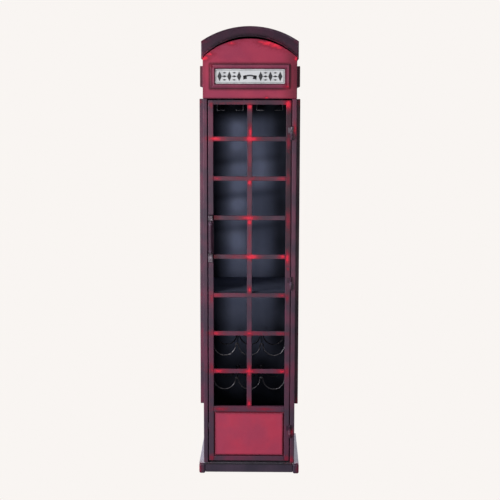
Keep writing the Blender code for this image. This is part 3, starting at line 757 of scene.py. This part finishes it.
def back_panel():
    low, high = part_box("back_panel")
    middle = (low.y + high.y) / 2

    def bulge(x, y, z):
        return -abs(unevenness((x, 0, z), 0.0009, 5, 9.0))

    shape = arched_block("back_panel", ARCH_APEX - 0.0008, 0.0004, 0.01, bulge)
    # Painted pools of light on the inner face, by bar: x, height above the bar, half width, half height
    light_pool_rows = {
        1: ((-0.061, 0.028, 0.032, 0.036), (-0.061, -0.042, 0.034, 0.026)),
        2: ((-0.05, 0.018, 0.038, 0.036), (-0.055, -0.06, 0.036, 0.03), (0.03, 0.04, 0.05, 0.11)),
        3: ((-0.055, 0.02, 0.038, 0.034),),
        4: ((-0.06, 0.01, 0.038, 0.05),),
    }
    light_pools = [(x, bar_level(bar) + rise, *size) for bar, rows in light_pool_rows.items() for x, rise, *size in rows]
    # Painted shadows of the door bars on the back panel.
    bar_shadow_levels = (bar_level(1) - 0.099, bar_level(2) - 0.093, bar_level(3) - 0.08)

    def painted_shade(point):
        """Painted shade on the inner face: lighter in painted pools of light round the middle of the upper
        panes, darker along painted bar shadows and towards the edges. The rear face gets none.
        """
        if point.y - bulge(*point) > middle:
            return 0.0
        sides = ease(abs(point.x + 0.015), 0.055, 0.15)
        above = ease(point.z, bar_level(1) + 0.045, bar_level(1) + 0.115)
        below = 1 - ease(point.z, 0.32, 0.68)
        clean_and_lit = 0.62
        for x, z, half_width, half_height in light_pools:
            distance = math.hypot((point.x - x) / half_width, (point.z - z) / half_height)
            clean_and_lit += 0.46 * math.exp(-distance * distance)
        for level in bar_shadow_levels:
            distance = (point.z - level - 0.1 * point.x) / 0.018
            clean_and_lit -= 0.26 * math.exp(-distance * distance)
        clean_and_lit *= (1 - 0.9 * sides) * (1 - above) * (1 - 0.96 * below)
        return min(max(1.0 - clean_and_lit + 0.1 * noise.noise(point * 9), 0.0), 1.0)

    obj = dressed("back_panel", shape, (INSIDE_LIT, PLUM), painted_shade)
    for face in obj.data.polygons:
        face.material_index = int(face.normal.y > 0.5)


def roof():
    def shade_level(point):
        """Painted shade along the inner arch."""
        rise = point.z - arch(point.x, EAVES_BOTTOM, ARCH_APEX)
        return 0.8 * (1 - ease(rise, 0.004, 0.02))

    for end in ENDS:
        node = f"roof_fascia_{end}"
        dressed(node, fascia(node, end), DARK, shade_level)
    low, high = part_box("roof_shell")
    corner = 0.006
    arc = [Vector((x, arch(x, EAVES_TOP, HEIGHT))) for x in evenly(-ROOF_HALF, ROOF_HALF, 60)[1:-1]]
    ends = rounded_line([(-ROOF_HALF, EAVES_BOTTOM), (-ROOF_HALF, EAVES_TOP), arc[0]], corner)[:-1]
    skirt = [Vector((-ROOF_HALF, z)) for z in evenly(EAVES_BOTTOM, EAVES_TOP - corner, 4)[1:-1]]
    left = [ends[0]] + skirt + ends[1:]
    right = [Vector((-point.x, point.y)) for point in reversed(left)]
    dressed("roof_shell", bent_sheet(left + arc + right, (low.y, high.y), 0.002, 48), DARK)


def fascia(node, end):
    """The arched band, with a raised lip along its outer and its inner edge."""
    low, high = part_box(node)
    lip, sunk, taper = 0.0045, 0.0022, 0.004
    outward = -1 if end == "front" else 1
    face = low.y if end == "front" else high.y

    def warp(point):
        share = (point.z - low.z) / (high.z - low.z)
        inner = arch(point.x, EAVES_BOTTOM, ARCH_APEX)
        outer = arch(point.x, EAVES_TOP, HEIGHT)
        z = inner + share * (outer - inner)
        edge = min(z - inner, outer - z)
        depth = sunk * ease(edge, lip, lip + 0.003)
        near = ease(abs(point.x), ROOF_HALF - 0.012, ROOF_HALF)
        x = point.x - math.copysign(taper * (1 - share) * near, point.x)
        facing = ease(-abs(point.y - face), -0.004, -0.001)
        return Vector((x, point.y - outward * depth * facing, z))

    return block(low, high, 0.003, 0.0028, 4, warp)


# ---- signs


def frame_bars(half_width, bottom, top, bar, depth, bevel=0.0018, cell=0.003):
    """Four mitred bars round a rectangle. They stand between y = -depth and y = 0."""
    shapes = []
    middle = (bottom + top) / 2
    half_height = (top - bottom) / 2

    def lying(point):
        inward = half_height - abs(point.z - middle)
        return Vector((point.x * (half_width - inward) / half_width, cove(point.y, inward), point.z))

    def standing(point):
        inward = half_width - abs(point.x)
        z = middle + (point.z - middle) * (half_height - inward) / half_height
        return Vector((point.x, cove(point.y, inward), z))

    def cove(y, inward):
        share = inward / bar
        return y * (1 - 0.22 * ease(share, 0.3, 0.5) + 0.22 * ease(share, 0.5, 0.75))

    for sign in (-1, 1):
        edge = top if sign > 0 else bottom
        low_z, high_z = sorted((edge, edge - sign * bar))
        low, high = (-half_width, -depth, low_z), (half_width, 0.0, high_z)
        shapes.append(block(low, high, bevel, cell, 2, lying))
        low_x, high_x = sorted((sign * half_width, sign * (half_width - bar)))
        low, high = (low_x, -depth, bottom), (high_x, 0.0, top)
        shapes.append(block(low, high, bevel, cell, 2, standing))
    return joined(*shapes)


def moved(shape, matrix):
    points, faces = shape
    return [matrix @ Vector(point) for point in points], faces


def rounded_plate(half_width, bottom, top, depth, radius, bevel=0.0008):
    """A thin plate with rounded corners, standing between y = -depth and y = 0."""
    middle = Vector((0, (bottom + top) / 2))
    core = Vector((half_width - radius, (top - bottom) / 2 - radius))

    def warp(point):
        flat = Vector((point.x, point.z)) - middle
        clamped = Vector((min(max(flat.x, -core.x), core.x), min(max(flat.y, -core.y), core.y)))
        beyond = flat - clamped
        if beyond.length > radius:
            flat = clamped + beyond.normalized() * radius
        return Vector((flat.x, point.y, flat.y + middle.y))

    return block((-half_width, -depth, bottom), (half_width, 0.0, top), bevel, 0.002, 2, warp)


def diamond(x, z, half_width, half_height, thickness):
    """A flat lozenge that stands proud of y = 0 by thickness."""
    def warp(point):
        across, up = point.x - point.z, point.x + point.z
        return Vector((x + across * half_width / 2, point.y, z + up * half_height / 2))

    return block((-1.0, -thickness, -1.0), (1.0, 0.0, 1.0), 0.0001, 0.5, 1, warp)


def handset(x, z, size, thickness):
    """A telephone handset lying on its back: a bowed grip with a cup turned down at each end."""
    bow = 0.3 * size

    def grip(point):
        share = point.x / size
        waist = 1 - 0.25 * math.cos(math.pi * min(abs(share), 1) / 2)
        up = point.z * waist + bow * (1 - share**2) - bow
        return Vector((x + point.x, point.y, z + up + 0.3 * size))

    parts = [block((-size, -thickness, -0.15 * size), (size, 0.0, 0.15 * size), 0.0002, 0.0014, 2, grip)]
    for sign in (-1, 1):
        turn = Matrix.Rotation(sign * 0.2, 3, "Y")

        def cup(point):
            flare = 1 + 0.25 * ease(-point.z, -0.1 * size, 0.3 * size)
            local = turn @ Vector((point.x * flare, point.y, point.z))
            return Vector((x + sign * 0.8 * size + local.x, point.y, z + local.z + 0.05 * size))

        low = (-0.24 * size, -thickness, -0.34 * size)
        parts.append(block(low, (0.24 * size, 0.0, 0.26 * size), 0.0002, 0.0012, 2, cup))
    return joined(*parts)


def sign_print(half_width, middle, height):
    """The plate's print: a thin border, and a handset between rows of lozenges and lines."""
    thickness = 0.0005
    inset = 0.004
    line = 0.0011
    bottom = middle - height / 2 + inset
    top = middle + height / 2 - inset
    parts = [frame_bars(half_width - inset, bottom, top, line, thickness, 0.0002, 0.004)]
    parts.append(handset(0.0, middle - 0.004, 0.025, thickness))
    for sign in (-1, 1):
        for place in (0.042, 0.08, 0.118):
            parts.append(diamond(sign * place, middle, 0.0085, 0.019, thickness))
        for place in (0.061, 0.099):
            parts.append(diamond(sign * place, middle, 0.0105, 0.0042, thickness))
            for rise in (-0.0135, 0.0135):
                parts.append(diamond(sign * place, middle + rise, 0.0075, 0.003, thickness))
    return joined(*parts)


def signs():
    framed_sign("front", 0.0)
    framed_sign("left", -math.pi / 2)
    framed_sign("right", math.pi / 2)


def framed_sign(side, angle):
    """A framed plate with its print, made facing the front and turned by angle to its side."""
    turn = Matrix.Rotation(angle, 4, "Z")
    low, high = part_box(f"sign_frame_{side}")
    plate_low, plate_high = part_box(f"sign_plate_{side}")
    flat = turn.inverted()
    face, wall = sorted(((flat @ low).y, (flat @ high).y))
    ahead = side == "front"
    half = (high.x - low.x) / 2 if ahead else (high.y - low.y) / 2
    place = Matrix.Translation((0, 0 if ahead else MIDDLE, 0)) @ turn @ Matrix.Translation((0, wall, 0))
    back_to_frame = place.inverted()
    opening = half - SIGN_BAR
    # The side frames get an even painted shade.
    shade_level = 0.0 if ahead else 0.45

    def ring(point):
        """Painted shadow lines along the opening and along the outer edge of the frame."""
        flat = back_to_frame @ point
        outward = max(abs(flat.x) - opening, low.z + SIGN_BAR - flat.z, flat.z - high.z + SIGN_BAR)
        line = 1 - ease(outward, 0.0, 0.006)
        return max(0.85 * line, 0.7 * ease(outward, 0.012, 0.018), shade_level)

    bars = frame_bars(half, low.z, high.z, SIGN_BAR, wall - face)
    dressed(f"sign_frame_{side}", moved(bars, place), FRAME, ring)
    inner = opening - 0.0004

    def rim(point):
        # Stain and painted shade towards the plate's edge, inside the frame's recess.
        flat = back_to_frame @ point
        edge = min(inner - abs(flat.x), flat.z - plate_low.z, plate_high.z - flat.z)
        return 1 - ease(edge, 0.0, 0.007)

    plate = rounded_plate(inner, plate_low.z, plate_high.z, PLATE_DEPTH, 0.0035)
    dressed(f"sign_plate_{side}", moved(plate, place), ENAMEL, rim)
    lift = Matrix.Translation((0, -PLATE_DEPTH + 0.0001, 0))
    shape = sign_print(inner, (plate_low.z + plate_high.z) / 2, plate_high.z - plate_low.z)
    piece(f"sign_print_{side}", moved(shape, place @ lift), INK, "cabinet")


# ---- side lattices


def side_lattices():
    for side, sign in (("left", -1), ("right", 1)):
        node = f"side_lattice_{side}"
        low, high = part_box(node)
        near, far = sorted((abs(low.x), abs(high.x)))
        bar_half = 0.009
        inner = (low.y + SIDE_BORDER, high.y - SIDE_BORDER)
        spans = []
        for y in ((low.y, inner[0]), (inner[1], high.y)):
            spans.append((far, y, (low.z, high.z), 0.0022))
        for z in ((low.z, low.z + SIDE_BORDER), (high.z - SIDE_BORDER, high.z)):
            spans.append((far - 0.0003, inner, z, 0.0018))
        recessed = far - SIDE_STEP
        across = (MIDDLE - bar_half, MIDDLE + bar_half)
        spans.append((recessed - 0.0004, across, (low.z + 0.01, high.z - 0.01), 0.0012))
        for number in range(1, BAR_COUNT + 1):
            level = bar_level(number)
            spans.append((recessed, inner, (level - bar_half, level + bar_half), 0.0012))
        shapes = []
        for reach, y, z, bevel in spans:
            x = sorted((sign * near, sign * reach))
            shapes.append(block((x[0], y[0], z[0]), (x[1], y[1], z[1]), bevel, 0.006))
        dressed(node, joined(*shapes), PLUM, right_shade)


# ---- inside


def inside():
    plain_member("ceiling_panel", WALLS, 0.0008, 0.012)
    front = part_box("shelf")[0].y

    def front_edge(point):
        """Darker along the shelf's front edge."""
        return 0.75 * (1 - ease(point.y, front + 0.001, front + 0.008))

    plain_member("shelf", SHELF_PAINT, 0.0008, 0.006, glaze_and_shade=front_edge)
    for level in ("upper", "lower"):
        bottle_rack(level)
    for side in SIDES:
        stem_rack(side)


def cradles(y, peak, reach):
    """One scalloped wire from wall to wall: three cradles joined by small crests."""
    spring = peak - CREST_RADIUS
    path = [(-reach, y, peak), (-3 * CREST_OFFSET, y, peak)]
    for number in (-1, 0, 1):
        middle = 2 * CREST_OFFSET * number
        path += arc_path(middle - CREST_OFFSET, spring, CREST_RADIUS, 90, 0, y, 6)
        path += arc_path(middle, spring, CRADLE_RADIUS, 180, 360, y, 30)
        path += arc_path(middle + CREST_OFFSET, spring, CREST_RADIUS, 180, 90, y, 6)
    return path + [(reach, y, peak)]


def arc_path(x, z, radius, start, end, y, steps):
    """An arc's points, all but the first."""
    angles = [math.radians(angle) for angle in evenly(start, end, steps)[1:]]
    return [(x + radius * math.cos(angle), y, z + radius * math.sin(angle)) for angle in angles]


def bottle_rack(level):
    node = f"bottle_rack_{level}"
    low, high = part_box(node)
    peak = high.z - WIRE_RADIUS
    depths = (low.y + 0.006, high.y - 0.006)
    shapes = [tube_along(cradles(y, peak, high.x), WIRE_RADIUS) for y in depths]
    rod_level = peak - WIRE_RADIUS - ROD_RADIUS + 0.0008
    for x in (-CREST_OFFSET, CREST_OFFSET):
        rod = [(x, low.y, rod_level), (x, low.y + 0.0006, rod_level), (x, high.y, rod_level)]
        shapes.append(tube_along(rod, ROD_RADIUS))
        for number, y in enumerate(depths):
            shapes.append(lump((x, y, rod_level + ROD_RADIUS), (0.0034, 0.003, 0.002), number + x))

    def grease_and_shade(point):
        """Painted shade: darker towards the rear wire and towards the crests."""
        rear = 0.9 * ease(point.y, low.y + 0.02, MIDDLE)
        return max(rear, 0.6 * ease(point.z, peak - 0.045, peak))

    dressed(node, joined(*shapes), WIRE, grease_and_shade)


def stem_rack(side):
    node = f"stem_rack_{side}"
    low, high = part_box(node)
    middle = (low.x + high.x) / 2
    section = [(middle - STEM_SLOT_HALF, low.z), (low.x, low.z), (low.x, high.z)]
    section += [(high.x, high.z), (high.x, low.z), (middle + STEM_SLOT_HALF, low.z)]
    line = rounded_line(section, 0.0035)

    def grease_and_shade(point):
        """Painted shade: darker all over, and more towards the top, where the hanger meets the ceiling."""
        return 0.55 + 0.4 * ease(point.z, low.z + 0.002, low.z + 0.012)

    dressed(node, bent_sheet(line, (low.y, high.y), SHEET, 40), WIRE, grease_and_shade)


# ---- door


def door():
    for side in SIDES:
        plain_member(f"door_stile_{side}", PLUM, 0.0022, 0.005, 0.0002, right_shade)
    for level in ("top", "middle", "bottom"):
        plain_member(f"door_rail_{level}", PLUM, 0.0018, 0.005, 0.0002, upper_shade)
    low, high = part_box("door_mullion")
    low.y += 0.0004
    dressed("door_mullion", block(low, high, 0.0011, 0.004), PLUM, upper_shade)
    for number in range(1, BAR_COUNT + 1):
        plain_member(f"door_bar_{number}", PLUM, 0.0011, 0.004, glaze_and_shade=upper_shade)
    kick_panel()
    door_welds()


def kick_panel():
    """A pressed panel with sloping edges and a slightly uneven face."""
    low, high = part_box("door_kick_panel")
    slope = 0.007

    def inset(point):
        return min(point.x - low.x, high.x - point.x, point.z - low.z, high.z - point.z)

    def warp(point):
        edge = inset(point)
        front = ease(high.y - point.y, 0.002, 0.006)
        drop = (high.y - low.y - 0.002) * (1 - ease(edge, 0.0005, slope))
        dent = abs(unevenness((point.x, 0, point.z), 0.0009, 14, 4.0)) * ease(edge, slope, 0.03)
        return Vector((point.x, point.y + front * (drop + dent), point.z))

    def glaze_and_shade(point):
        # Painted shade on the sloping edges round the pressed face.
        return 0.75 * (1 - ease(inset(point), 0.002, 0.014))

    dressed("door_kick_panel", block(low, high, 0.0006, 0.0028, 1, warp), KICK_LIT_RED, glaze_and_shade)


def door_welds():
    """Weld beads in the corners where the bars meet the stiles and cross the mullion."""
    shapes = []
    mullion_low, mullion_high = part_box("door_mullion")
    for number in range(1, BAR_COUNT + 1):
        low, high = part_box(f"door_bar_{number}")
        y = (low.y + high.y) / 2 + 0.001
        for z in (low.z, high.z):
            for x in (low.x, mullion_low.x, mullion_high.x, high.x):
                shapes.append(lump((x, y, z), (0.0022, 0.002, 0.0018), 10 * x + z))
    piece("door_weld_beads", joined(*shapes), PLUM, "door")


# ---- hinges, handle and catch


def knuckle(z_low, z_high, cap_low):
    """A turned half of a hinge knuckle, domed at its free end."""
    radius, end, groove = KNUCKLE_RADIUS, 0.004, 0.0005
    free, inner = (z_low, z_high) if cap_low else (z_high, z_low)
    toward = 1 if cap_low else -1
    profile = [(0.0006, free)]
    for angle in evenly(0, math.pi / 2, 6)[1:]:
        profile.append((radius * math.sin(angle), free + toward * end * (1 - math.cos(angle))))
    ring = inner - toward * 0.004
    profile += [(radius, ring - toward * groove), (radius - groove, ring), (radius, ring + toward * groove)]
    profile += [(radius, inner - toward * 0.0006), (radius - 0.0006, inner)]
    return profile if cap_low else profile[::-1]


def hinges():
    leaf_depth = 0.0018
    for level in HINGE_LEVELS:
        for part, cap_low in (("door_half", False), ("post_half", True)):
            node = f"hinge_{part}_{level}"
            low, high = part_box(node)
            on_door = part == "door_half"
            axis_x = high.x - KNUCKLE_RADIUS if on_door else low.x + KNUCKLE_RADIUS
            axis = (axis_x, low.y + KNUCKLE_RADIUS, 0)
            z_low, z_high = low.z, high.z if on_door else high.z - PIN_LENGTH
            shapes = [turned(knuckle(z_low, z_high, cap_low), axis)]
            if not on_door:
                pin = [(0.0023, z_high - 0.001), (0.0023, high.z - 0.001), (0.0015, high.z)]
                shapes.append(turned(pin, axis))
            x = (low.x, axis_x) if on_door else (axis_x, high.x)
            inset = (0.002, 0.005) if on_door else (0.005, 0.002)
            leaf_low = (x[0], high.y - leaf_depth + 0.0003, z_low + inset[0])
            leaf_high = (x[1], high.y, z_high - inset[1])
            shapes.append(block(leaf_low, leaf_high, 0.0006, 0.003))
            look = HANDLE_METAL if node == "hinge_door_half_top" else DARK
            dressed(node, joined(*shapes), look)


def handle():
    low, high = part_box("handle_grip")
    x, y = (low.x + high.x) / 2, (low.y + high.y) / 2
    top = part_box("handle_mount_upper")[0].z - 0.007
    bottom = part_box("handle_mount_lower")[1].z + 0.004
    # The grip's end as (how far below the full radius, how far in from the end)
    end = ((0.0022, 0.0), (0.0006, 0.0008), (0.0, 0.0025), (0.0, 0.006), (0.0006, 0.0068), (0.0, 0.0076))
    profile = [(0.0006, low.z), (TENON_RADIUS, low.z + 0.0004), (TENON_RADIUS, bottom)]
    profile += [(GRIP_RADIUS - cut, bottom + inward) for cut, inward in end]
    for share in evenly(0, 1, 20):
        z = bottom + 0.01 + share * (top - bottom - 0.02)
        profile.append((GRIP_RADIUS - 0.0007 * math.sin(math.pi * share), z))
    profile += [(GRIP_RADIUS - cut, top - inward) for cut, inward in reversed(end)]
    profile += [(TENON_RADIUS, top), (TENON_RADIUS, high.z - 0.0004), (0.0006, high.z)]
    dressed("handle_grip", turned(profile, (x, y, 0)), DARK)
    ring = GRIP_RADIUS + 0.0012
    collar = [(TENON_RADIUS, -0.0012), (ring - 0.0006, -0.0012), (ring, -0.0006)]
    collar += [(ring, 0.0006), (ring - 0.0006, 0.0012), (TENON_RADIUS, 0.0012)]
    for node in ("handle_mount_upper", "handle_mount_lower"):
        low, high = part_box(node)
        middle = (low.z + high.z) / 2

        def waisted(point):
            share = ease(point.y, low.y + 0.016, low.y + 0.022)
            share -= ease(point.y, high.y - 0.004, high.y - 0.001)
            pinch = 1 - 0.18 * share
            return Vector((x + (point.x - x) * pinch, point.y, middle + (point.z - middle) * pinch))

        mount = block(low, high, 0.0035, 0.002, 3, waisted)
        level = low.z - 0.0006 if node == "handle_mount_upper" else high.z + 0.0006
        dressed(node, joined(mount, turned(collar, (x, y, level))), HANDLE_METAL)


def catch():
    plain_member("magnetic_catch", STEEL, 0.0012, 0.003)
    plain_member("strike_plate", STEEL, 0.0006, 0.004)


# ---- stage


def soft_box(name, place, target, size, power, colour):
    light = bpy.data.lights.new(name, "AREA")
    light.shape = "RECTANGLE"
    light.size, light.size_y = size
    light.energy = power
    light.color = colour
    obj = added(name, light)
    obj.location = place
    obj.rotation_euler = (Vector(target) - obj.location).to_track_quat("-Z", "Y").to_euler()


def lights():
    middle = (0, 0, 0.9)
    white, cool = (1.0, 0.985, 0.97), (0.93, 0.95, 1.0)
    soft_box("key_left", (-3.0, -3.4, 1.7), middle, (1.4, 2.4), 150, white)
    soft_box("fill_front", (-0.3, -4.5, 0.7), (0, 0, 0.5), (1.1, 1.5), 40, white)
    soft_box("strip_left", (-2.4, -0.7, 1.2), (0, 0, 1.0), (0.4, 2.4), 34, cool)
    soft_box("strip_right", (2.4, 0.6, 1.3), (0, 0, 1.0), (0.3, 2.2), 14, cool)


def backdrop():
    """A pale floor and surround of one even colour; the floor glows evenly and takes no shadow."""
    scene = bpy.context.scene
    scene.world = bpy.data.worlds.new("studio")
    sky = Looks(scene.world, "Generated")
    depth = sky.node("SeparateXYZ", Vector=sky.place).outputs["Y"]
    around = sky.node("Background", Color=(0.9, 0.92, 1.0, 1.0))
    sky.feed(around, Strength=sky.span(depth, -0.15, 0.45, 0.1, 0.75))
    seen = sky.node("Background", Color=srgb(*BACKDROP))
    switch = sky.node("MixShader", Fac=sky.node("LightPath").outputs["Is Camera Ray"])
    sky.plug(switch.inputs[1], around.outputs[0])
    sky.plug(switch.inputs[2], seen.outputs[0])
    sky.feed(sky.tree.nodes["World Output"], Surface=switch.outputs[0])

    shape = bmesh.new()
    bmesh.ops.create_circle(shape, cap_ends=True, segments=96, radius=14.0)
    mesh = bpy.data.meshes.new("studio_floor")
    shape.to_mesh(mesh)
    shape.free()
    floor = added("studio_floor", mesh)
    floor.location.z = -0.0002
    looks = Looks(bpy.data.materials.new("studio_floor"))
    looks.shader(Base_Color=(0.0, 0.0, 0.0, 1.0), Roughness=1.0, Specular_IOR_Level=0.0)
    looks.shader(Emission_Color=srgb(*BACKDROP), Emission_Strength=1.0)
    mesh.materials.append(looks.owner)
    floor.visible_diffuse = False
    floor.visible_glossy = False
    scene.view_settings.view_transform = "Standard"
    scene.view_settings.look = "None"


def camera():
    data = bpy.data.cameras.new("camera")
    data.lens = CAMERA_LENS
    data.sensor_width = 36.0
    data.clip_end = 60.0
    obj = added("camera", data)
    turn = Matrix.Rotation(CAMERA_YAW, 4, "Z")
    turn = turn @ Matrix.Rotation(math.pi / 2 - CAMERA_PITCH, 4, "X")
    turn = turn @ Matrix.Rotation(CAMERA_ROLL, 4, "Z")
    obj.matrix_world = Matrix.Translation(CAMERA_PLACE) @ turn
    bpy.context.scene.camera = obj


camera()
backdrop()
lights()
plinth()
posts()
side_panels()
header()
back_panel()
roof()
signs()
side_lattices()
inside()
door()
hinges()
handle()
catch()
